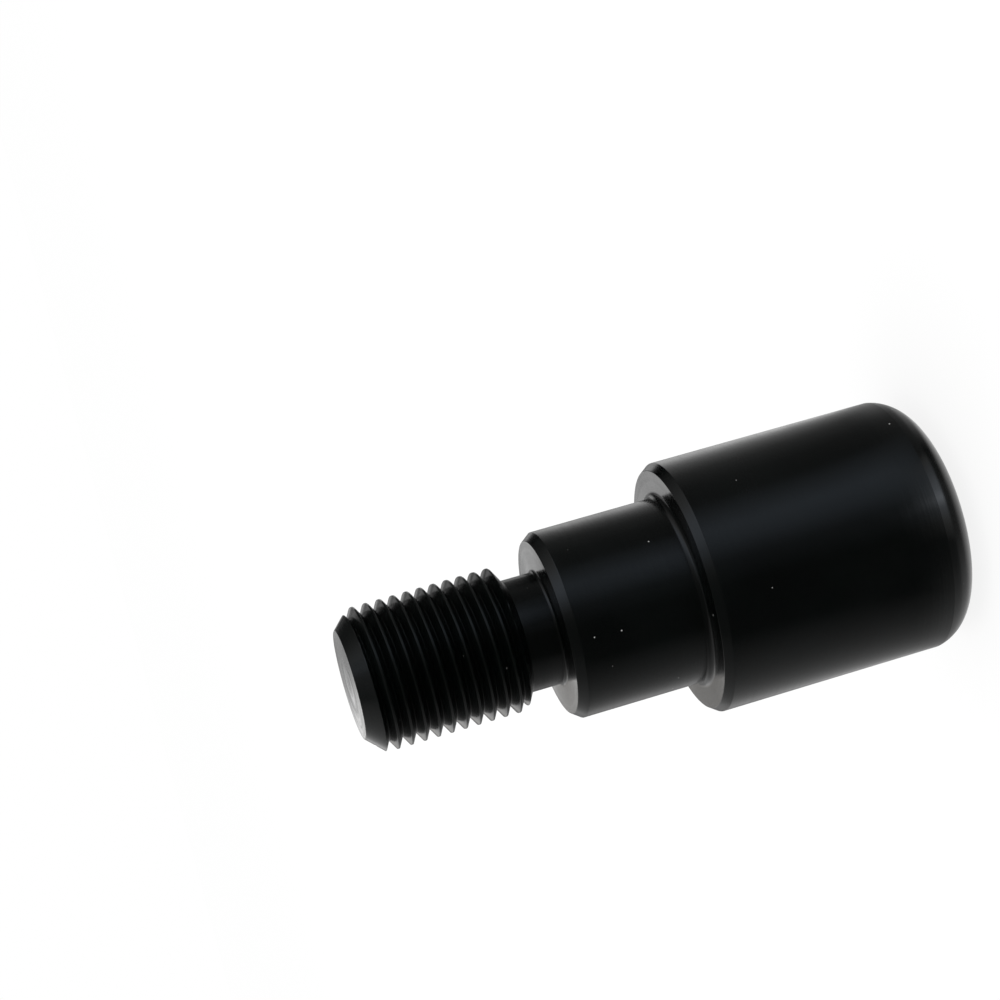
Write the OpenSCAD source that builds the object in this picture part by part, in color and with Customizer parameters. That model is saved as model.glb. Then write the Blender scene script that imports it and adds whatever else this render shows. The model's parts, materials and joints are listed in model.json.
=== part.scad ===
// Bar end weight: one solid turned piece with a rounded head, a plain neck and a threaded stud.
// Millimetres. It stands on its rounded end: Z = 0 is the rim of the key socket, the axis is Z,
// and the threaded stud points up (+Z).

/* [Head] */
// Diameter of the barrel of the head
head_d = 28; // [24:0.5:34]
// Height from the socket rim to the ring face that stops against the bar
head_len = 30.4; // [20:0.2:45]
// Radius of the rounded edge between barrel and crown
corner_r = 4.5; // [2.5:0.1:5.5]
// Angle of the faint edge where the barrel meets the rounded edge, in degrees
corner_tilt = 10; // [2:1:20]
// Radius of the shallow crown
crown_r = 53; // [40:1:120]
// Radial width of the bevel round the ring face
shoulder_bevel_w = 0.65; // [0.2:0.05:1.5]
// Height of the bevel round the ring face
shoulder_bevel_h = 0.9; // [0.2:0.05:2]

/* [Key socket] */
// Hexagon size across its flats
hex_af = 8; // [5:1:8]
// Depth of the hexagon below the rim
hex_depth = 9; // [6:0.5:14]
// Diameter of the countersunk mouth
mouth_d = 11.4; // [10:0.2:12.4]
// Included angle of the countersink, in degrees
mouth_angle = 90; // [80:5:100]
// Included angle of the drill point under the hexagon, in degrees
drill_angle = 118; // [90:2:140]

/* [Neck] */
// Diameter of the plain neck
neck_d = 20.7; // [18.5:0.1:22.5]
// Length of the neck from the ring face of the head to its own front face
neck_len = 15; // [8:0.5:25]
// Radial width of the bevel round the neck's front face
neck_bevel_w = 0.75; // [0.2:0.05:1]
// Height of the bevel round the neck's front face
neck_bevel_h = 1; // [0.2:0.05:2]
// Fillet where the neck meets the head
neck_fillet = 0.8; // [0.2:0.1:1.5]

/* [Stud] */
// Crest diameter of the thread
thread_d = 15.8; // [15:0.1:16]
// Pitch of the single-start right-hand thread
thread_pitch = 1.5; // [1.25:0.25:1.5]
// Width of the flat left on the crest
crest_flat = 0.19; // [0.15:0.01:0.4]
// Width of the flat at the root of the groove
root_flat = 0.06; // [0.04:0.01:0.2]
// Length of the stud from the neck's front face to its tip
stud_len = 22.2; // [14:0.2:32]
// Diameter of the flat end face of the stud
tip_d = 11.9; // [10:0.1:13]
// Diameter of the plain relief behind the thread
relief_d = 12.4; // [10.5:0.1:13]
// Length of the relief's plain cylinder
relief_len = 3.7; // [2.8:0.1:6]
// Fillet where the relief meets the neck's front face
relief_fillet = 0.4; // [0.1:0.1:1]
// Turn of the thread about the axis, in degrees
thread_phase = 0; // [0:5:355]

/* [Smoothness] */
// Steps in each turn of the thread
thread_steps = 40; // [24:4:48]
// Steps in each rounded edge
arc_steps = 12; // [6:1:20]

/* [Hidden] */
head_r = head_d / 2;
neck_r = neck_d / 2;
thread_r = thread_d / 2;
relief_r = relief_d / 2;
tip_r = tip_d / 2;
mouth_r = mouth_d / 2;
// The countersink runs in to a circle inside the hexagon's flats
sink_h = (mouth_r - hex_af / 2) / tan(mouth_angle / 2);
drill_r = hex_af / 2 - 0.1;
drill_h = drill_r / tan(drill_angle / 2);
// Crown sphere through the socket rim, and the rounded edge tangent inside it
crown_z = sqrt(crown_r * crown_r - mouth_r * mouth_r);
corner_c = head_r - corner_r * cos(corner_tilt);
crown_end = asin(corner_c / (crown_r - corner_r));
corner_z = crown_z - (crown_r - corner_r) * cos(crown_end);
neck_z = head_len + neck_len;
tip_z = neck_z + stud_len;
tip_bevel = thread_r - tip_r;
flank = 30;
thread_depth = (thread_pitch - crest_flat - root_flat) / (2 * tan(flank));
root_r = thread_r - thread_depth;
// The thread starts above the relief with a shoulder sloped like its flanks
shoulder_h = (thread_r - relief_r) * tan(flank);
thread_z = neck_z + relief_len;
cut_over = 0.08;
cut_w = root_flat + 2 * (thread_depth + cut_over) * tan(flank);
cut_from = thread_z - 0.9;
cut_to = tip_z + thread_pitch * 0.75;
cut_n = ceil((cut_to - cut_from) / thread_pitch * thread_steps);

// Points of an arc about (cr, cz) from angle a0 to a1, measured outward from the +R direction
function arc(cr, cz, r, a0, a1, n) =
    [for (i = [0 : n]) let (a = a0 + (a1 - a0) * i / n) [cr + r * cos(a), cz + r * sin(a)]];

// Half section of the turned body, from the floor of the countersink round the outside to the tip
function body_section() = concat(
    [[0, sink_h], [hex_af / 2, sink_h]],
    [for (i = [0 : arc_steps])
        let (a = asin(mouth_r / crown_r) + (crown_end - asin(mouth_r / crown_r)) * i / arc_steps)
        [crown_r * sin(a), crown_z - crown_r * cos(a)]],
    [for (i = [1 : 2 * arc_steps])
        let (a = (90 - crown_end) + (corner_tilt - 90 + crown_end) * i / (2 * arc_steps))
        [corner_c + corner_r * cos(a), corner_z - corner_r * sin(a)]],
    [[head_r, head_len - shoulder_bevel_h], [head_r - shoulder_bevel_w, head_len]],
    arc(neck_r + neck_fillet, head_len + neck_fillet, neck_fillet, 270, 180, arc_steps),
    [[neck_r, neck_z - neck_bevel_h], [neck_r - neck_bevel_w, neck_z]],
    arc(relief_r + relief_fillet, neck_z + relief_fillet, relief_fillet, 270, 180, arc_steps),
    [[relief_r, thread_z], [thread_r, thread_z + shoulder_h]],
    [[thread_r, tip_z - tip_bevel], [tip_r, tip_z], [0, tip_z]]
);

// One corner of the groove cutter: k = 0, 1 at the root, 2, 3 outside the crest
function cut_point(i, k) =
    let (a = thread_phase + 360 * i / thread_steps,
         z = cut_from + thread_pitch * i / thread_steps,
         r = k < 2 ? root_r : thread_r + cut_over,
         w = k < 2 ? root_flat / 2 : cut_w / 2,
         s = (k == 0 || k == 3) ? -1 : 1)
    [r * cos(a), r * sin(a), z + s * w];

// Vee groove that winds up the stud, open into the relief below and past the tip above
module groove() {
    points = [for (i = [0 : cut_n]) for (k = [0 : 3]) cut_point(i, k)];
    sides = [for (i = [0 : cut_n - 1]) for (k = [0 : 3])
        let (a = 4 * i + k, b = 4 * i + (k + 1) % 4, c = b + 4, d = a + 4)
        each [[a, d, b], [b, d, c]]];
    ends = [[0, 1, 2, 3], [for (k = [3 : -1 : 0]) 4 * cut_n + k]];
    polyhedron(points = points, faces = concat(sides, ends), convexity = 10);
}

module key_socket() {
    translate([0, 0, -1])
        cylinder(d = hex_af / cos(30), h = hex_depth + 1, $fn = 6);
    translate([0, 0, hex_depth - 0.01])
        cylinder(r1 = drill_r, r2 = 0, h = drill_h, $fn = 96);
}

module bar_end_weight() {
    color([0.06, 0.06, 0.065])
    difference() {
        rotate_extrude($fn = 120) polygon(body_section());
        key_socket();
        groove();
    }
}

bar_end_weight();
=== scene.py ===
"""Looks of a black anodised bar end weight: its finely cut body, its finish, and the stage it stands on."""
import json
import math

import bmesh
import bpy
import numpy as np
from bpy.props import FloatProperty, FloatVectorProperty, PointerProperty
from bpy.types import Operator, Panel, PropertyGroup
from mathutils import Matrix, Vector

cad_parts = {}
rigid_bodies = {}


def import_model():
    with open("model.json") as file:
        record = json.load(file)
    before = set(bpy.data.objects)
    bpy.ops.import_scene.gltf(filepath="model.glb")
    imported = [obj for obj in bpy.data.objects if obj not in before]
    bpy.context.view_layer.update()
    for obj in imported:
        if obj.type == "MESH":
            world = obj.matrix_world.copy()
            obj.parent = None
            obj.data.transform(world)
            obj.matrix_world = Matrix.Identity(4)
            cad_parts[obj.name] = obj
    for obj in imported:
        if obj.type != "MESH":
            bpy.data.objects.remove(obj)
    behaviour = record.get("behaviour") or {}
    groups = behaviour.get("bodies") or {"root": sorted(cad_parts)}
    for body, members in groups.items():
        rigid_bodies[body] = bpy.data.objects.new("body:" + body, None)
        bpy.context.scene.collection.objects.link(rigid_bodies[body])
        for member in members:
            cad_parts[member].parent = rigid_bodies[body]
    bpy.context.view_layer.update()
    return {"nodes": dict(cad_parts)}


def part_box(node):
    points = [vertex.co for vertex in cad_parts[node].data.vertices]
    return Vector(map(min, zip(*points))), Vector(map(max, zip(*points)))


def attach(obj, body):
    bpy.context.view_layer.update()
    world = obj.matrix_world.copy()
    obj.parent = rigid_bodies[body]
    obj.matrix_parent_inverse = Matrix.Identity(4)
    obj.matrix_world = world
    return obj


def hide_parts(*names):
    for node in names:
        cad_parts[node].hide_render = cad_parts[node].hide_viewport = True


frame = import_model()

bl_info = {
    "name": "Bar end weight",
    "version": (1, 0, 0),
    "blender": (4, 5, 0),
    "location": "3D View > Sidebar > Bar End",
    "description": "Builds a turned bar end weight with a threaded stud, its black finish and its stage",
    "category": "Object",
}

NODE = "bar_end_weight"
MM = 0.001
LOW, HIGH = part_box(NODE)

# Columns round the axis, a multiple of 6 so that the hexagon's corners fall on columns
COLUMNS = 180
# Level rows over the run-out cone of the thread, and over the bevel at its tip
CONE_ROWS, TIP_ROWS = 40, 56
# Triangles that the body stays under, and how close two of its points are when they are merged
TRIANGLE_LIMIT = 200000
MERGE = 0.0008 * MM
# Steepest bend that is shaded smooth
SMOOTH_BEND = math.radians(40)

# Tangents of half the thread's angle and of half the angle of the drill's point
FLANK = math.tan(math.radians(30))
DRILL_POINT = math.tan(math.radians(59))
# How much smaller the drill's radius is than the hexagon's, measured to a flat
DRILL_GAP = 0.1 * MM
# Share of the mouth's radius where the countersink's rows have gone over from hexagon to circle
SINK_SHARE = 0.84

# How far below the thread's start the middle of the groove lies at turn 0
GROOVE_LEAD = 0.9 * MM
# Softness of the stud's edges: cone to crest, crest to tip bevel, and both to the groove's flanks
CONE_SOFT, BEVEL_SOFT, FLANK_SOFT = 0.015 * MM, 0.03 * MM, 0.016 * MM
# Wear on the edges of the crests, where a turned edge has 1, and how far from the edge it fades
CREST_WEAR, CREST_FADE = 0.05, 0.05 * MM
# How far the level rows run on past the run-out cone, at either end, and past the tip bevel
CONE_MARGIN, TIP_MARGIN = 0.2 * MM, 0.08 * MM
# Height of the rounding between tip bevel and end face, as a share of the broken edge
TIP_ROLL = 0.35
# Places of the thread's rows for a pitch of 1.5, from the middle of the groove to that of the crest:
# they are close at the root and at the crest's edge
PLACES = np.array([0, 0.008, 0.02, 0.04, 0.08, 0.35, 0.58, 0.63, 0.65, 0.665, 0.68, 0.70, 0.75])

# Painted reflections: tones of the glowing card round the part, which only gloss sees. Each zone has its
# greys by degrees, from behind over the camera's side, which is 0, and how strong a cool cast some of them
# have. A grey above 1 is a painted bright strip that glows brighter than white
PAINTED_REFLECTION_TONES = {
    "floor": ([(-180, 0.24), (-165, 0.30), (-145, 0.66), (-120, 0.44), (-96, 0.30), (-72, 0.16),
               (-52, 0.03), (-8, 0.025), (12, 0.11), (27, 0.36), (39, 0.48), (52, 0.28), (66, 0.08),
               (86, 0.10), (108, 0.20), (124, 0.46), (143, 1.04), (155, 0.78), (168, 0.34), (180, 0.24)],
              {12: 0.6, 27: 1.0, 39: 1.0, 52: 0.8}),
    "walls": ([(-180, 0.80), (-178.7, 1.90), (-177.4, 0.76), (-176, 0.48), (-170, 0.80), (-163, 1.10),
               (-153, 0.70), (-142, 0.48), (-131, 0.40), (-107, 0.31), (-91, 0.19), (-79, 0.15),
               (-62, 0.06), (-28, 0.05), (0, 0.07), (15, 0.17), (28, 0.34), (40, 0.56), (50, 0.80),
               (62, 0.84), (75, 0.70), (90, 0.42), (107, 0.24), (120, 0.10), (140, 0.04), (164, 0.05),
               (168, 0.55), (172, 1.00), (177.5, 1.10), (178.6, 0.34), (180, 0.80)],
              {28: 0.6, 40: 0.8, 50: 0.8, 62: 0.8, 75: 0.5, -177.4: -0.2, -176: -0.2, -170: -0.2}),
    "close": ([(-180, 0.85), (-150, 0.70), (-117, 0.42), (-98, 0.42), (-75, 0.52), (-60, 0.44),
               (-45, 0.30), (-30, 0.14), (-17, 0.10), (-6, 0.42), (3, 0.90), (8, 2.00), (13, 1.30),
               (24, 0.62), (31, 0.42), (37, 0.12), (60, 0.16), (80, 0.22), (98, 0.40), (117, 0.45),
               (150, 0.70), (180, 0.85)],
              {3: 0.5, 8: 0.5, 13: 0.6, 24: 0.5}),
    "under": ([(-180, 0.70), (-95, 0.52), (-62, 0.60), (-36, 0.42), (-24, 0.28), (-12, 0.17), (12, 0.16),
               (24, 0.07), (38, 0.04), (50, 0.20), (63, 0.40), (77, 0.50), (95, 0.45), (180, 0.70)],
              {}),
}
# How much a full cool cast in the painted reflections takes from the red and adds to the blue
CAST_RED, CAST_BLUE = 0.13, 0.18
# Half section of the glowing card of painted reflections, as (radius, height) in metres: floor, curl, wall
# and roof
CARD_PROFILE = np.array([(0.012, 0.0002), (0.5, 0.0002), (0.6, 0.03), (0.66, 0.12), (0.66, 0.45),
                         (0.52, 0.78), (0.36, 0.95), (0.15, 1.02), (0.0, 1.04)])


def length(name, about, default):
    """A length property in metres, shown in the scene's units."""
    return FloatProperty(name=name, description=about, default=default, min=0.0, precision=4,
                         subtype="DISTANCE", unit="LENGTH")


def angle(name, about, degrees):
    """An angle property, with its default in degrees."""
    return FloatProperty(name=name, description=about, default=math.radians(degrees), subtype="ANGLE",
                         unit="ROTATION")


def factor(name, about, default):
    """A property from 0 to 1."""
    return FloatProperty(name=name, description=about, default=default, min=0.0, max=1.0,
                         subtype="FACTOR")


def location(name, about, default):
    """A property for a point in space, in metres."""
    return FloatVectorProperty(name=name, description=about, default=default, size=3, precision=5,
                               subtype="TRANSLATION", unit="LENGTH")


def colour(name, about, default):
    """A colour property of three linear channels."""
    return FloatVectorProperty(name=name, description=about, default=default, min=0.0, max=1.0,
                               size=3, subtype="COLOR")


class BarEndShape(PropertyGroup):
    """Sizes of the turned body, from the rim of the key socket up to the end of the stud."""

    head_width: length("Head width", "Diameter of the barrel of the head", HIGH.x - LOW.x)
    head_length: length("Head length", "Socket rim to the ring face of the head", 30.4 * MM)
    corner_radius: length("Rounded edge", "Radius between barrel and crown", 4.5 * MM)
    corner_tilt: angle("Edge angle", "Angle of the faint edge where the barrel ends", 10)
    crown_radius: length("Crown radius", "Radius of the shallow crown", 53 * MM)
    head_bevel_width: length("Head bevel width", "Width of the bevel round the head's face", 0.65 * MM)
    head_bevel_height: length("Head bevel height", "Height of that bevel", 0.9 * MM)
    key_width: length("Key width", "Hexagon across its flats", 8 * MM)
    key_depth: length("Key depth", "Rim to the floor of the hexagon", 9 * MM)
    mouth_width: length("Socket mouth", "Diameter of the countersunk mouth", 11.4 * MM)
    neck_width: length("Neck width", "Diameter of the plain neck", 20.7 * MM)
    neck_length: length("Neck length", "Ring face of the head to the neck's own face", 15 * MM)
    neck_bevel_width: length("Neck bevel width", "Width of the bevel round the neck's face", 0.75 * MM)
    neck_bevel_height: length("Neck bevel height", "Height of that bevel", 1 * MM)
    neck_fillet: length("Neck fillet", "Radius where the neck meets the head", 0.8 * MM)
    relief_width: length("Relief width", "Diameter of the plain relief behind the thread", 12.4 * MM)
    relief_length: length("Relief length", "Length of the relief", 3.7 * MM)
    relief_fillet: length("Relief fillet", "Radius where the relief meets the neck's face", 0.4 * MM)
    thread_width: length("Thread width", "Crest diameter of the thread", 15.8 * MM)
    thread_pitch: length("Pitch", "Distance from crest to crest", 1.5 * MM)
    crest_flat: length("Crest flat", "Width of the flat on the crest", 0.19 * MM)
    root_flat: length("Root width", "Width of the rounded root", 0.06 * MM)
    end_width: length("End face", "Diameter of the flat end of the stud", 11.9 * MM)
    broken_edge: length("Broken edge", "Radius left on the turned edges", 0.1 * MM)


class BarEndFinish(PropertyGroup):
    """Colour and surface of the black anodising."""

    black: colour("Anodising", "Colour of the anodised surface", (0.0011, 0.0019, 0.0017))
    rubbed: colour("Rubbed edge", "Colour of edges where the black has thinned", (0.20, 0.20, 0.21))
    dust: colour("Dust", "Colour of the specks of dust", (0.45, 0.45, 0.44))
    roughness: factor("Roughness", "Satin of the anodised surface", 0.20)
    gloss: factor("Gloss", "Strength of reflections seen square on", 0.45)
    brushing: factor("Brushing", "How far the turning marks draw reflections out", 0.4)
    line_depth: length("Turning marks", "Depth of the fine turning marks", 0.004 * MM)


class BarEndStage(PropertyGroup):
    """Floor and camera."""

    floor: colour("Floor", "Colour of the floor", (0.97, 0.97, 0.97))
    lens: FloatProperty(name="Lens", description="Focal length on a 36 mm sensor, in millimetres",
                        default=86.99, min=10.0)
    camera_place: location("Camera", "Where the camera stands", (-0.22845, -0.11341, 0.09464))
    camera_aim: location("Aim", "Point that falls in the middle of the picture",
                         (0.01554, -0.00918, 0.04462))
    camera_roll: angle("Roll", "Turn of the camera about its own line of sight", 105.643)


def round_corners(points, radii, steps=5, hold=0.03 * MM):
    """Half section with its corners rounded.

    Each inner corner of the line of (r, z) points becomes an arc that touches both sides, radius times
    the tangent of half the turn away from the corner, and a point held a little before and after the
    arc keeps the flats flat. A radius of 0 keeps a corner as it is. Returns points, and 1 on outer arcs."""
    points = np.asarray(points, float)
    out, worn = [points[0]], [0.0]
    for i in range(1, len(points) - 1):
        if radii[i] <= 0:
            out.append(points[i])
            worn.append(0.0)
            continue
        a, b, c = points[i - 1:i + 2]
        back, on = (a - b) / np.linalg.norm(a - b), (c - b) / np.linalg.norm(c - b)
        turn = math.pi - math.acos(np.clip(back @ on, -1, 1))
        reach = radii[i] * math.tan(turn / 2)
        middle = b + (back + on) / np.linalg.norm(back + on) * radii[i] / math.cos(turn / 2)
        first, last = b + back * reach - middle, b + on * reach - middle
        share = np.linspace(0, 1, steps + 1)[:, None]
        arc = middle + (np.sin((1 - share) * turn) * first + np.sin(share * turn) * last) / math.sin(turn)
        arc = np.vstack([b + back * (reach + hold), arc, b + on * (reach + hold)])
        out.extend(arc)
        outer = 1.0 if back[0] * on[1] - back[1] * on[0] > 0 else 0.0
        worn.extend([0.0] + [outer] * (steps + 1) + [0.0])
    out.append(points[-1])
    worn.append(0.0)
    return np.array(out), np.array(worn)


def arc_points(middle, radius, start, end, steps):
    """Points of an arc in the half section: middle plus radius times cosine and sine of even angles."""
    a = np.radians(np.linspace(start, end, steps + 1))
    return np.stack([middle[0] + radius * np.cos(a), middle[1] + radius * np.sin(a)], 1)


def soft_min(a, b, width):
    """Smaller of two radii with a rounded change-over: half of their sum less the root of their
    squared difference plus the squared width."""
    return 0.5 * (a + b - np.sqrt((a - b) ** 2 + width ** 2))


def thread_start(shape):
    """Height where the relief ends and the run-out cone of the thread begins."""
    return shape.head_length + shape.neck_length + shape.relief_length


def stud_radius(z, turn, shape):
    """Radius of the threaded stud at height z and turn round the axis, and the wear there.

    The body is the smallest of a cone that rises from the relief at the flank's slope, the crest
    cylinder, and a 45 degree bevel down to the end face. The groove's radius is its root plus the
    distance along the axis from the nearest helix line, over the tangent of 30 degrees, with the
    distance rounded at the root. The stud is the softly rounded smaller one of body and groove. The
    wear is a bell over the difference of the two, so it is greatest on the edges of the crests."""
    pitch, crest, start = shape.thread_pitch, shape.thread_width / 2, thread_start(shape)
    cone = shape.relief_width / 2 + np.maximum(z - start, 0) / FLANK
    bevel = shape.end_width / 2 + (HIGH.z - z)
    body = soft_min(soft_min(cone, crest, CONE_SOFT), bevel, BEVEL_SOFT)
    depth = (pitch - shape.crest_flat - shape.root_flat) / (2 * FLANK)
    climbed = z - (start - GROOVE_LEAD) - pitch * turn / (2 * math.pi)
    away = np.mod(climbed + pitch / 2, pitch) - pitch / 2
    half_root = shape.root_flat / 2
    groove = crest - depth + (np.sqrt(away ** 2 + half_root ** 2) - half_root) / FLANK
    wear = CREST_WEAR * np.exp(-((body - groove) / CREST_FADE) ** 2)
    return soft_min(body, groove, FLANK_SOFT), wear


class Rows:
    """Rows of the body's surface: a radius, a height and a wear at every turn round the axis."""

    def __init__(self):
        self.turn = np.linspace(0, 2 * math.pi, COLUMNS + 1)
        self.radii, self.heights, self.worn = [], [], []

    def add(self, radius, height, wear=0.0):
        """Adds a row, from numbers or from arrays over the turn."""
        for rows, value in ((self.radii, radius), (self.heights, height), (self.worn, wear)):
            rows.append(np.broadcast_to(value, self.turn.shape))

    def add_between(self, start, end, shares):
        """Adds rows on the straight line from one (radius, height) to another, at shares of the way."""
        (start_r, start_z), (end_r, end_z) = start, end
        for share in shares:
            self.add(start_r + (end_r - start_r) * share, start_z + (end_z - start_z) * share)

    def add_stud(self, height, shape):
        """Adds a row of the threaded stud, at one height or at a height for every turn."""
        height = np.broadcast_to(height, self.turn.shape)
        radius, wear = stud_radius(height, self.turn, shape)
        self.add(radius, height, wear)


def add_socket(rows, shape):
    """Rows of the key socket: drilled point, floor and walls of the hexagon, and the countersink.

    The hexagon's radius is half its width over the cosine of the turn from the middle of the nearest
    flat. The countersink slopes at 45 degrees: its height is the mouth's radius less its own."""
    half_key, mouth, floor = shape.key_width / 2, shape.mouth_width / 2, shape.key_depth
    drill = half_key - DRILL_GAP
    hexagon = half_key / np.cos(np.mod(rows.turn, math.pi / 3) - math.pi / 6)
    sink = mouth - hexagon
    rows.add_between((0.0, floor + drill / DRILL_POINT), (drill, floor), (0.0, 0.15, 0.5, 0.97, 1.0))
    rows.add_between((drill, floor), (hexagon, floor), (0.3, 0.97, 1.0))
    rows.add_between((hexagon, floor), (hexagon, sink), (0.01, 0.5, 0.99, 1.0))
    rows.add_between((hexagon, sink), (SINK_SHARE * mouth, (1 - SINK_SHARE) * mouth), (0.06, 0.5))


def add_outside(rows, shape):
    """Rows from the countersink over crown, rounded edge, head and neck to the end of the relief.

    The crown is an arc through the socket's rim. The rounded edge is an arc that touches it from inside
    and stops short of the barrel by the edge angle, which leaves a faint line. The half section is a
    list of stretches, each with the radius of its corners as a share of the broken edge."""
    mouth, head = shape.mouth_width / 2, shape.head_width / 2
    neck, relief = shape.neck_width / 2, shape.relief_width / 2
    head_z = shape.head_length
    neck_z = head_z + shape.neck_length

    corner_r = head - shape.corner_radius * math.cos(shape.corner_tilt)
    crown_z = math.sqrt(shape.crown_radius ** 2 - mouth ** 2)
    inner = shape.crown_radius - shape.corner_radius
    rim_angle, end_angle = math.asin(mouth / shape.crown_radius), math.asin(corner_r / inner)
    corner_z = crown_z - inner * math.cos(end_angle)
    crown = arc_points((0, crown_z), shape.crown_radius, math.degrees(rim_angle) - 90,
                       math.degrees(end_angle) - 90, 8)
    corner = arc_points((corner_r, corner_z), shape.corner_radius, math.degrees(end_angle) - 90,
                        -math.degrees(shape.corner_tilt), 26)
    neck_fillet = arc_points((neck + shape.neck_fillet, head_z + shape.neck_fillet),
                             shape.neck_fillet, 270, 180, 8)
    relief_fillet = arc_points((relief + shape.relief_fillet, neck_z + shape.relief_fillet),
                               shape.relief_fillet, 270, 180, 6)

    stretches = [
        ([(SINK_SHARE * mouth, (1 - SINK_SHARE) * mouth)], 0),
        (crown[:1], 1),
        (crown[1:], 0),
        (corner[1:-1], 0),
        (corner[-1:], 0.5),
        ([(head, head_z - shape.head_bevel_height)], 1.2),
        ([(head - shape.head_bevel_width, head_z)], 1),
        (neck_fillet, 0),
        ([(neck, neck_z - shape.neck_bevel_height)], 1.2),
        ([(neck - shape.neck_bevel_width, neck_z)], 1),
        (relief_fillet, 0),
        ([(relief, thread_start(shape) - CONE_MARGIN)], 0),
    ]
    line = [point for points, _ in stretches for point in points]
    radii = [share * shape.broken_edge for points, share in stretches for _ in points]
    outline, worn = round_corners(line, radii)
    for (r, z), wear in zip(outline[:-1], worn[:-1]):
        rows.add(r, z, wear)


def add_thread(rows, shape):
    """Rows of the stud: level ones over the run-out cone and the tip bevel, and rows along the thread.

    A row along the thread keeps its place in the pitch: its height is that place plus the pitch times
    the turn over a full turn, held between the heights where the level rows end and begin."""
    pitch, start = shape.thread_pitch, thread_start(shape)
    low_z = start + (shape.thread_width - shape.relief_width) / 2 * FLANK + CONE_MARGIN
    top_z = HIGH.z - (shape.thread_width - shape.end_width) / 2 - TIP_MARGIN
    for z in np.linspace(start - CONE_MARGIN, low_z, CONE_ROWS):
        rows.add_stud(z, shape)

    origin = start - GROOVE_LEAD
    places = np.concatenate([-PLACES[:0:-1], PLACES[:-1]]) * pitch / 1.5
    turns = np.arange(math.floor((low_z - origin) / pitch) - 2, math.ceil((top_z - origin) / pitch) + 2)
    for first in (origin + turns[:, None] * pitch + places).ravel():
        z = np.clip(first + pitch * rows.turn / (2 * math.pi), low_z, top_z)
        if np.ptp(z) > 0:
            rows.add_stud(z, shape)

    for z in np.linspace(top_z, HIGH.z - TIP_ROLL * shape.broken_edge, TIP_ROWS):
        rows.add_stud(z, shape)


def add_end_face(rows):
    """Rows of the stud's end: an arc that turns the 45 degree bevel into the flat, then the flat itself."""
    rim, rim_z, bevel = rows.radii[-1], rows.heights[-1], math.radians(45)
    bend = (HIGH.z - rim_z) / (1 - math.sin(bevel))
    for a in np.linspace(bevel, math.pi / 2, 5)[1:]:
        rows.add(rim - bend * (math.cos(bevel) - math.cos(a)),
                 rim_z + bend * (math.sin(a) - math.sin(bevel)), 1.0)
    rows.add_between((rows.radii[-1], HIGH.z), (0.0, HIGH.z), (0.01, 0.25, 0.5, 0.75, 0.92, 1.0))


def grid_mesh(name, points):
    """Mesh of a grid of points, rows by columns, joined by quads."""
    index = np.arange(points[..., 0].size).reshape(points.shape[:2])
    quads = np.stack([index[:-1, :-1], index[:-1, 1:], index[1:, 1:], index[1:, :-1]], -1).reshape(-1, 4)
    mesh = bpy.data.meshes.new(name)
    mesh.from_pydata(points.reshape(-1, 3), [], quads.tolist())
    return mesh


def close_body(mesh):
    """Merges the seam and the poles of the body, turns its faces outwards and tests that it is closed."""
    solid = bmesh.new()
    solid.from_mesh(mesh)
    bmesh.ops.remove_doubles(solid, verts=solid.verts, dist=MERGE)
    bmesh.ops.recalc_face_normals(solid, faces=solid.faces)
    open_edges = sum(1 for e in solid.edges if not e.is_manifold)
    triangles = sum(len(f.verts) - 2 for f in solid.faces)
    if open_edges or solid.calc_volume(signed=True) <= 0:
        raise RuntimeError(f"the body isn't a closed solid: {open_edges} open edges")
    if triangles >= TRIANGLE_LIMIT:
        raise RuntimeError(f"the body has {triangles} triangles")
    solid.to_mesh(mesh)
    solid.free()
    print("body:", triangles, "triangles,", len(mesh.vertices), "points")


def build_body(shape):
    """Closed mesh of the body: rows by columns of points (r cos turn, r sin turn, z), joined by quads.

    Rows run from the bottom of the drilled point up the socket, over the outside and along the stud to
    the middle of its end face. The attribute along is the length of the section from the socket's bottom
    up to each row, as the mean over its columns, so the marks it drives run in circles and follow the
    thread. The attribute edge is 1 where a turned edge can wear."""
    rows = Rows()
    add_socket(rows, shape)
    add_outside(rows, shape)
    add_thread(rows, shape)
    add_end_face(rows)
    r, z, edge = np.array(rows.radii), np.array(rows.heights), np.array(rows.worn)
    steps = np.hypot(np.diff(r, axis=0), np.diff(z, axis=0)).mean(axis=1)
    along = np.broadcast_to(np.concatenate([[0.0], np.cumsum(steps)])[:, None], r.shape)
    mesh = grid_mesh("bar_end_body", np.stack([r * np.cos(rows.turn), r * np.sin(rows.turn), z], -1))
    for name, values in (("along", along), ("edge", edge)):
        attribute = mesh.attributes.new(name, "FLOAT", "POINT")
        attribute.data.foreach_set("value", values.ravel().astype(np.float32))
    close_body(mesh)
    mesh.polygons.foreach_set("use_smooth", np.ones(len(mesh.polygons), bool))
    mesh.set_sharp_from_angle(angle=SMOOTH_BEND)
    return mesh


class Field:
    """A number that varies over a surface: a shader socket that takes part in sums."""

    def __init__(self, shader, socket):
        self.shader, self.socket = shader, socket

    def _math(self, operation, *values):
        return self.shader.node("ShaderNodeMath", {"operation": operation}, dict(enumerate(values)))

    def __add__(self, other):
        return self._math("ADD", self, other)

    __radd__ = __add__

    def __sub__(self, other):
        return self._math("SUBTRACT", self, other)

    def __rsub__(self, other):
        return self._math("SUBTRACT", other, self)

    def __mul__(self, other):
        return self._math("MULTIPLY", self, other)

    __rmul__ = __mul__

    def __truediv__(self, other):
        return self._math("DIVIDE", self, other)

    def __rtruediv__(self, other):
        return self._math("DIVIDE", other, self)

    def __gt__(self, other):
        return self._math("GREATER_THAN", self, other)


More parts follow.
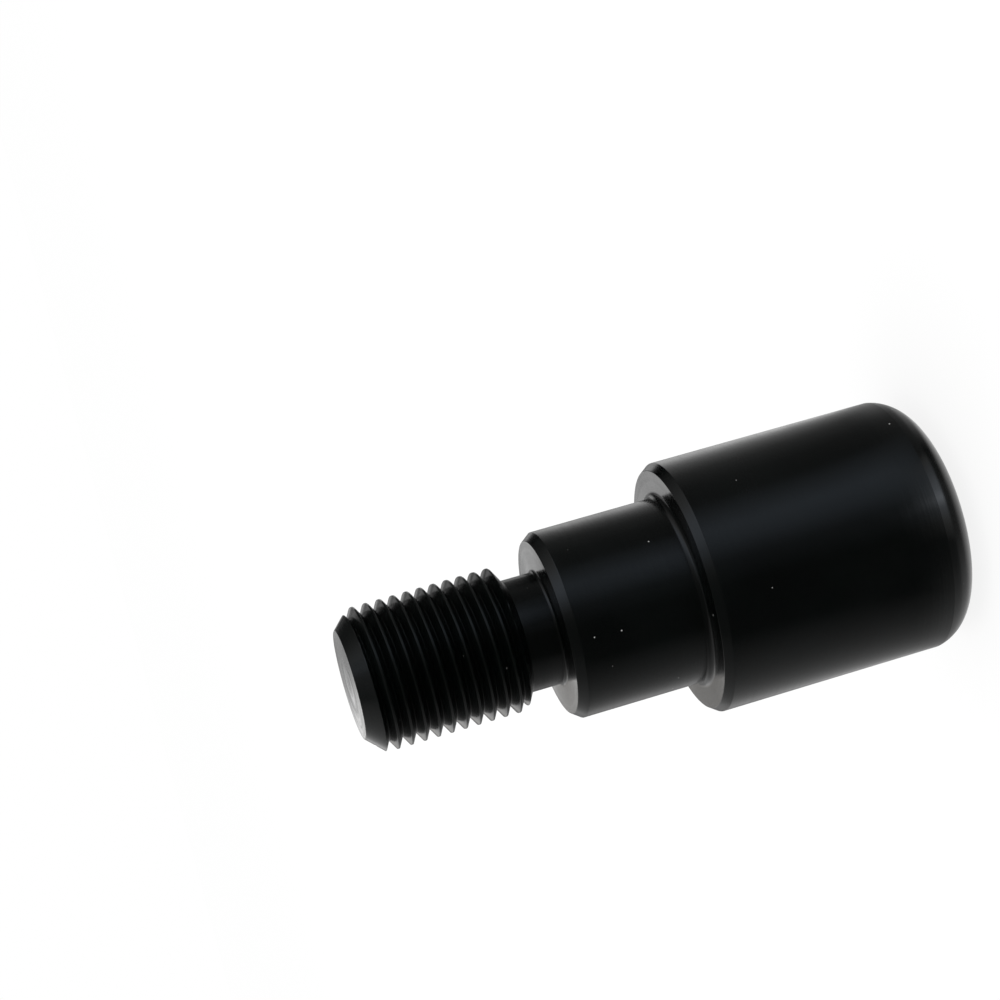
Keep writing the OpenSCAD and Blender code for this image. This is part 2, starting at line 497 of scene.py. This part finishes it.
class Shader:
    """Node tree of one material or world."""

    def __init__(self, holder):
        holder.use_nodes = True
        self.tree = holder.node_tree
        self.tree.nodes.clear()

    def node(self, kind, settings=None, sockets=None, output=0):
        """Adds a node of a type, sets its settings or its ramp's stops, then its sockets by name or number.
        Returns one of its outputs."""
        made = self.tree.nodes.new(kind)
        for key, value in (settings or {}).items():
            if key == "stops":
                ramp = made.color_ramp
                while len(ramp.elements) < len(value):
                    ramp.elements.new(0.5)
                for element, (position, tone) in zip(ramp.elements, value):
                    element.position, element.color = position, (*tone, 1.0)
            else:
                setattr(made, key, value)
        for key, value in (sockets or {}).items():
            if isinstance(value, Field):
                self.tree.links.new(value.socket, made.inputs[key])
            else:
                made.inputs[key].default_value = value
        return Field(self, made.outputs[output]) if made.outputs else None

    def mix(self, amount, a, b):
        """Colour between a and b, by amount."""
        a, b = (tone if isinstance(tone, Field) else (*tone, 1.0) for tone in (a, b))
        return self.node("ShaderNodeMix", {"data_type": "RGBA"}, {0: amount, 6: a, 7: b}, output=2)

    def range(self, value, low, high):
        """0 up to low and 1 from high on, with a smooth step between. Low may be the larger one."""
        return self.node("ShaderNodeMapRange", {"interpolation_type": "SMOOTHSTEP"},
                         {0: value, 1: low, 2: high, 3: 0.0, 4: 1.0})

    def between(self, value, low, full, still, high):
        """1 from full to still, and 0 below low and above high."""
        return self.range(value, low, full) * self.range(value, high, still)

    def axes(self, vector):
        """The three coordinates of a vector."""
        return [self.node("ShaderNodeSeparateXYZ", {}, {0: vector}, output=i) for i in (0, 1, 2)]


def anodised_black(finish):
    """Black anodised aluminium, satin, with fine turning marks, cloudy patches, rubbed edges and dust."""
    material = bpy.data.materials.new("black_anodised_aluminium")
    s = Shader(material)
    place = s.node("ShaderNodeTexCoord", output=3)
    along = s.node("ShaderNodeAttribute", {"attribute_name": "along"}, output=2)
    edge = s.node("ShaderNodeAttribute", {"attribute_name": "edge"}, output=2)

    def noise(scale, detail):
        return s.node("ShaderNodeTexNoise", {"noise_dimensions": "3D"},
                      {"Vector": place, "Scale": scale, "Detail": detail, "Roughness": 0.5})

    def rings(scale, detail):
        return s.node("ShaderNodeTexNoise", {"noise_dimensions": "1D"},
                      {"W": along, "Scale": scale, "Detail": detail, "Roughness": 0.6})

    # Turning marks run round the part: a coarse feed and a fine one, and broad ones on the end face
    marks = rings(1900.0, 2.0) * 0.6 + rings(6500.0, 1.0) * 0.4
    end = s.range(s.axes(place)[2], HIGH.z - 0.15 * MM, HIGH.z - 0.05 * MM)
    broad = end * (rings(800.0, 0.0) - 0.5)
    cloud, mottle, grain = noise(90.0, 3.0), noise(320.0, 4.0), noise(9000.0, 2.0)

    # Rubbed edges break up where the patches are thin
    rub = edge * s.range(noise(1400.0, 3.0), 0.42, 0.66) * 0.12

    # Specks: a few cells of a fine mosaic hold one round grain each, of a size of its own
    cells = {"Vector": place, "Scale": 600.0, "Randomness": 1.0}
    near, which = (s.node("ShaderNodeTexVoronoi", {"feature": "F1"}, cells, output=i) for i in (0, 1))
    lot, size = (s.node("ShaderNodeSeparateColor", {}, {0: which}, output=i) for i in (0, 1))
    speck = s.range(near, 0.035 + size * 0.045, 0.015) * (lot > 0.84)

    thick, thin = (tuple(part * c for c in finish.black) for part in (0.8, 1.25))
    tone = s.mix(s.range(cloud, 0.35, 0.7), thick, thin)
    tone = s.mix(rub, tone, tuple(finish.rubbed))
    tone = s.mix(speck, tone, tuple(finish.dust))

    # What each pattern does to the roughness, and how high it stands, in depths of the turning marks
    roughness, height = finish.roughness + speck * 0.4 + broad * 0.15, speck * 2.0
    for pattern, rough, high in ((cloud, 0.12, 3.0), (mottle, 0.16, 4.0), (marks, 0.16, 1.3),
                                 (grain, 0.06, 0.7)):
        roughness = roughness + (pattern - 0.5) * rough
        height = height + (pattern - 0.5) * high
    bump = s.node("ShaderNodeBump", {},
                  {"Strength": 1.0, "Distance": finish.line_depth, "Height": height})
    surface = s.node("ShaderNodeBsdfPrincipled", {}, {
        "Base Color": tone, "Metallic": rub * 0.8, "Roughness": roughness, "Normal": bump,
        "IOR": 1.5, "Specular IOR Level": finish.gloss, "Anisotropic": finish.brushing,
        "Anisotropic Rotation": 0.25})
    s.node("ShaderNodeOutputMaterial", {}, {"Surface": surface})
    return material


def white_floor(tone):
    """Pale floor that shows as a white ground to the camera and in gloss, and keeps a soft shadow.

    The even white has 86 parts of what they see, and the lit board, which has the shadow, the rest."""
    material = bpy.data.materials.new("white_ground")
    s = Shader(material)
    camera, gloss, clear = (s.node("ShaderNodeLightPath", output=i) for i in (0, 3, 6))
    seen = s.node("ShaderNodeMath", {"operation": "MINIMUM"}, {0: camera + gloss + clear, 1: 1.0})
    board = s.node("ShaderNodeBsdfDiffuse", {}, {"Color": (*tone, 1.0)})
    ground = s.node("ShaderNodeEmission", {}, {"Color": (1.0, 1.0, 1.0, 1.0), "Strength": 1.0})
    surface = s.node("ShaderNodeMixShader", {}, {0: seen * 0.86, 1: board, 2: ground})
    s.node("ShaderNodeOutputMaterial", {}, {"Surface": surface})
    return material


def painted_reflection_card(azimuth):
    """Tent that glows with painted reflections and is seen only in gloss: painted dark toward the camera,
    pale to the sides and behind.

    Its tone depends on the turn round the part, measured from the camera's azimuth, on the reach, which is
    the distance from the axis, and on the rise, which is height over reach. The floor, the walls, the floor
    close to the part and the strip under its rounded edge have a ramp each over the turn. Close to the part
    these ramps paint shade, and a few highlights, into the reflections. The roof and the ring where the
    part stands are even greys, and a narrow pane of painted highlight hangs behind. The glow is painted
    dimmer, as painted shade, on a ring of the far floor, in two low places at the side, and high up behind
    the part."""
    material = bpy.data.materials.new("painted_reflection_card")
    s = Shader(material)
    x, y, z = s.axes(s.node("ShaderNodeTexCoord", output=3))
    c, n = math.cos(azimuth), math.sin(azimuth)
    turn = s.node("ShaderNodeMath", {"operation": "ARCTAN2"}, {0: y * c - x * n, 1: x * c + y * n})
    share = turn / (2 * math.pi) + 0.5
    reach = s.node("ShaderNodeMath", {"operation": "SQRT"}, {0: x * x + y * y})
    rise = z / reach

    def ramp(greys, cool):
        """Ramp over the turn, of greys by degrees, with a cool cast given for some of them."""
        casts = [(degrees, grey, cool.get(degrees, 0)) for degrees, grey in greys]
        stops = [(0.5 + degrees / 360, (grey * (1 - CAST_RED * cast), grey, grey * (1 + CAST_BLUE * cast)))
                 for degrees, grey, cast in casts]
        return s.node("ShaderNodeValToRGB", {"stops": stops}, {0: share})

    # From the outside in: floor, walls, painted highlight pane, roof, then the floor close by, under the
    # edge and at the foot, where the ramps paint shade and a few highlights into the reflections
    floor, walls, close, under = (ramp(*zone) for zone in PAINTED_REFLECTION_TONES.values())
    tone = s.mix(s.range(rise, 0.13, 0.20), floor, walls)
    painted_highlight_pane = 0.6 * s.between(turn, 2.69, 2.77, 2.81, 2.87) * s.between(rise, 0.32, 0.42, 0.75, 0.95)
    tone = s.mix(painted_highlight_pane, tone, (1.0, 1.0, 1.0))
    tone = s.mix(s.range(rise, 3.0, 7.0), tone, (0.20, 0.20, 0.21))
    tone = s.mix(s.range(reach, 0.034, 0.018), tone, close)
    tone = s.mix(s.range(reach, 0.0156, 0.0146), tone, under)
    tone = s.mix(s.range(reach, 0.0134, 0.0122), tone, (0.80, 0.80, 0.80))

    # Places where the glow is painted dimmer, as painted shade in the reflections
    far = s.between(reach, 0.235, 0.260, 0.30, 0.36)
    side = s.between(turn, 1.6, 2.0, 2.42, 2.62) * s.range(reach, 0.215, 0.245) * s.range(rise, 0.45, 0.30)
    band = s.between(turn, 0.1, 0.25, 0.9, 1.1) * s.range(reach, 0.28, 0.33) * s.range(rise, 0.3, 0.1)
    either_way = s.node("ShaderNodeMath", {"operation": "ABSOLUTE"}, {0: turn})
    behind = s.range(either_way, 2.5, 2.8) * s.range(rise, 0.9, 1.3)
    level = (1 - 0.5 * far) * (1 - 0.9 * side) * (1 - 0.55 * band) * (1 - 0.75 * behind)
    glow = s.node("ShaderNodeEmission", {}, {"Color": tone, "Strength": level})
    s.node("ShaderNodeOutputMaterial", {}, {"Surface": glow})
    return material


def card_mesh(azimuth):
    """Tent round the part: a flat floor that curls up into a wall and a roof. Points are radius and
    height of the profile, carried round once from behind the part."""
    turn = azimuth + np.radians(np.linspace(-180, 180, 121))
    r, z = CARD_PROFILE[:, :1], CARD_PROFILE[:, 1:]
    x, y = r * np.cos(turn), r * np.sin(turn)
    return grid_mesh("painted_reflection_card", np.stack([x, y, np.broadcast_to(z, x.shape)], -1))


def white_surround():
    """World that is an even white, for the camera, for the gloss and as soft light on the part."""
    world = bpy.data.worlds.new("white_surround")
    s = Shader(world)
    white = s.node("ShaderNodeBackground", {}, {"Color": (1.0, 1.0, 1.0, 1.0), "Strength": 1.0})
    s.node("ShaderNodeOutputWorld", {}, {"Surface": white})
    return world


def soft_lamp(name, azimuth, climb, distance, size, watts, aim):
    """Square lamp at an azimuth and an angle above the horizon, in degrees, turned to face the aim point.

    Neither the camera nor the gloss sees it."""
    lamp = bpy.data.lights.new(name, "AREA")
    lamp.shape, lamp.size, lamp.energy = "SQUARE", size, watts
    obj = bpy.data.objects.new(name, lamp)
    obj.visible_camera = obj.visible_glossy = False
    a, e = math.radians(azimuth), math.radians(climb)
    toward = Vector((math.cos(a) * math.cos(e), math.sin(a) * math.cos(e), math.sin(e)))
    facing = toward.to_track_quat("Z", "Y").to_matrix().to_4x4()
    obj.matrix_world = Matrix.Translation(aim + toward * distance) @ facing
    return obj


def photo_camera(stage):
    """Camera that looks from its place to its aim, level at first, then rolled about its line of sight."""
    lens = bpy.data.cameras.new("camera")
    lens.lens, lens.sensor_width, lens.sensor_fit = stage.lens, 36.0, "HORIZONTAL"
    lens.clip_start = 0.01
    place, aim = Vector(stage.camera_place), Vector(stage.camera_aim)
    ahead = (aim - place).normalized()
    side = ahead.cross(Vector((0, 0, 1))).normalized()
    level = Matrix((side, side.cross(ahead), -ahead)).transposed()
    turned = level @ Matrix.Rotation(-stage.camera_roll, 3, "Z")
    camera = bpy.data.objects.new("camera", lens)
    camera.matrix_world = Matrix.Translation(place) @ turned.to_4x4()
    return camera


class BAREND_OT_add_weight(Operator):
    """Build the bar end weight with its thread, key socket and black finish"""

    bl_idname = "barend.add_weight"
    bl_label = "Bar End Weight"

    def execute(self, context):
        mesh = build_body(context.scene.bar_end_shape)
        body = bpy.data.objects.new("bar_end_body", mesh)
        context.scene.collection.objects.link(body)
        material = anodised_black(context.scene.bar_end_finish)
        mesh.materials.append(material)
        carried = frame["nodes"][NODE]
        if not carried.material_slots:
            carried.data.materials.append(material)
        for held in carried.material_slots:
            held.material = material
        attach(body, "root")
        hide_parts(NODE)
        return {"FINISHED"}


class BAREND_OT_add_stage(Operator):
    """Lay the pale floor, put up the glowing card of painted reflections and the soft lamp, and place the
    camera
    """

    bl_idname = "barend.add_stage"
    bl_label = "Stage"

    def execute(self, context):
        scene, stage = context.scene, context.scene.bar_end_stage
        half = 3.0
        mesh = bpy.data.meshes.new("floor")
        mesh.from_pydata([(-half, -half, 0), (half, -half, 0), (half, half, 0), (-half, half, 0)], [],
                         [(0, 1, 2, 3)])
        floor = bpy.data.objects.new("floor", mesh)
        scene.collection.objects.link(floor)
        mesh.materials.append(white_floor(stage.floor))
        scene.world = white_surround()

        # Only reflections see the card, which glows with painted reflections, so the floor stays plain to
        # the camera and keeps its light
        azimuth = math.atan2(stage.camera_place[1], stage.camera_place[0])
        card = bpy.data.objects.new("painted_reflection_card", card_mesh(azimuth))
        scene.collection.objects.link(card)
        card.data.materials.append(painted_reflection_card(azimuth))
        card.visible_camera = card.visible_diffuse = card.visible_shadow = card.visible_transmission = False

        lamp = soft_lamp("lamp_over", azimuth=60, climb=62, distance=0.9, size=0.7, watts=2.5,
                         aim=Vector((0, 0, 0.03)))
        scene.collection.objects.link(lamp)

        camera = photo_camera(stage)
        scene.collection.objects.link(camera)
        scene.camera = camera
        scene.view_settings.view_transform = "Standard"
        return {"FINISHED"}


class BAREND_PT_panel(Panel):
    """Lists the piece and the stage, with their sizes and finishes"""

    bl_idname = "BAREND_PT_panel"
    bl_label = "Bar End Weight"
    bl_space_type = "VIEW_3D"
    bl_region_type = "UI"
    bl_category = "Bar End"

    def draw(self, context):
        layout = self.layout
        for group, operator in (("bar_end_shape", BAREND_OT_add_weight), ("bar_end_finish", None),
                                ("bar_end_stage", BAREND_OT_add_stage)):
            box = layout.box()
            settings = getattr(context.scene, group)
            for name in settings.__annotations__:
                box.prop(settings, name)
            if operator:
                box.operator(operator.bl_idname)


CLASSES = (BarEndShape, BarEndFinish, BarEndStage, BAREND_OT_add_weight, BAREND_OT_add_stage,
           BAREND_PT_panel)


def register():
    for cls in CLASSES:
        bpy.utils.register_class(cls)
    bpy.types.Scene.bar_end_shape = PointerProperty(type=BarEndShape)
    bpy.types.Scene.bar_end_finish = PointerProperty(type=BarEndFinish)
    bpy.types.Scene.bar_end_stage = PointerProperty(type=BarEndStage)


def unregister():
    for name in ("bar_end_shape", "bar_end_finish", "bar_end_stage"):
        delattr(bpy.types.Scene, name)
    for cls in reversed(CLASSES):
        bpy.utils.unregister_class(cls)


def main():
    register()
    bpy.ops.barend.add_weight()
    bpy.ops.barend.add_stage()


if __name__ == "__main__":
    main()
